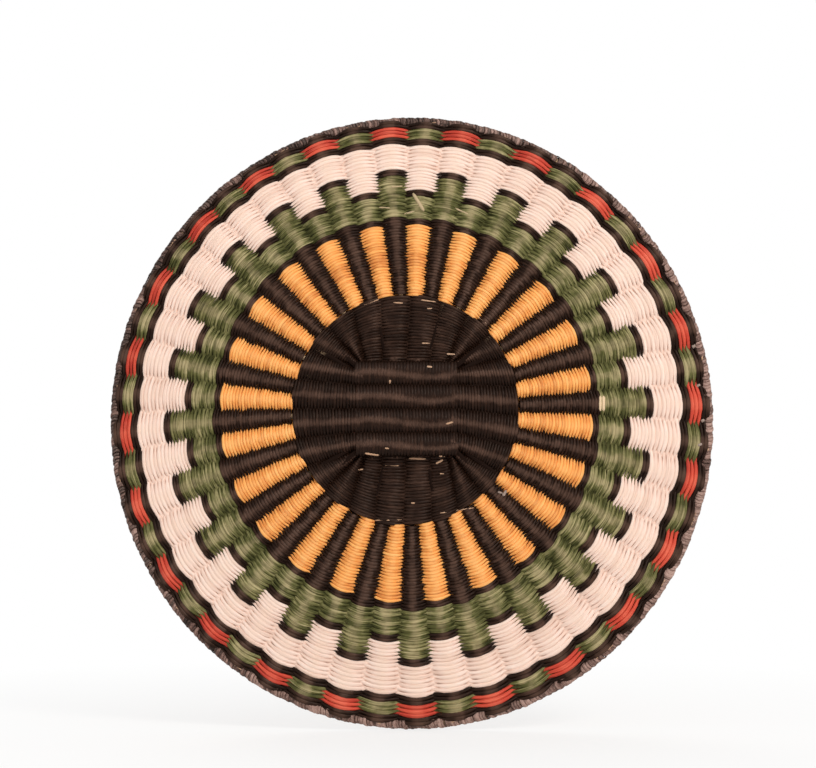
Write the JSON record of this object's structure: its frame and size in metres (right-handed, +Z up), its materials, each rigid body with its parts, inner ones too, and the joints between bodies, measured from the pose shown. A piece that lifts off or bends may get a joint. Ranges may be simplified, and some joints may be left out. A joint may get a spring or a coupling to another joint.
{
  "type": "wicker plaque",
  "caption": "Flat round wicker plaque in plain weave: crossed mats of rods in the middle, fanned spokes, rings of dyed weft and a wrapped rim.",
  "frame": {"origin": "on the flat back of the rear bundle nearest the middle, level with the rim's centre", "axes": "+Y out of the back of the plaque, +X to the right seen from the front, +Z up"},
  "size_m": [0.3016, 0.0123, 0.3063],
  "materials": {
    "willow_rod": "peeled willow, dry and matt",
    "black_weft": "brown-black dyed twig, faint sheen",
    "orange_weft": "yellow-orange dyed twig, matt",
    "green_weft": "olive green dyed twig, matt, uneven",
    "white_weft": "whitened twig, chalky",
    "red_weft": "brick red dyed twig, matt",
    "rim_strip": "dark leaf strip, dry"
  },
  "bodies": {
    "root": {"front_mat_binding": "black_weft", "back_mat_binding": "black_weft", "centre_weft_inner": "black_weft", "centre_weft_outer": "black_weft", "orange_stripe_weft": "orange_weft", "black_stripe_weft": "black_weft", "black_line_weft": "black_weft", "green_field_weft": "green_weft", "green_step_foot_weft": "green_weft", "low_step_line_weft": "black_weft", "white_notch_weft": "white_weft", "green_step_weft": "green_weft", "high_step_line_weft": "black_weft", "white_even_weft": "white_weft", "white_odd_weft": "white_weft", "border_line_even_weft": "black_weft", "border_line_odd_weft": "black_weft", "green_dash_weft": "green_weft", "red_dash_weft": "red_weft", "edge_line_even_weft": "black_weft", "edge_line_odd_weft": "black_weft", "rim_bundle": "willow_rod", "rim_wrap": "rim_strip", "front_rod_01": "willow_rod", "front_rod_02": "willow_rod", "front_rod_03": "willow_rod", "front_rod_04": "willow_rod", "front_rod_05": "willow_rod", "front_rod_06": "willow_rod", "front_rod_07": "willow_rod", "front_rod_08": "willow_rod", "front_rod_09": "willow_rod", "front_rod_10": "willow_rod", "front_rod_11": "willow_rod", "front_rod_12": "willow_rod", "back_rod_01": "willow_rod", "back_rod_02": "willow_rod", "back_rod_03": "willow_rod", "back_rod_04": "willow_rod", "back_rod_05": "willow_rod", "back_rod_06": "willow_rod", "back_rod_07": "willow_rod", "back_rod_08": "willow_rod", "back_rod_09": "willow_rod", "back_rod_10": "willow_rod", "back_rod_11": "willow_rod", "back_rod_12": "willow_rod"}
  },
  "joints": []
}
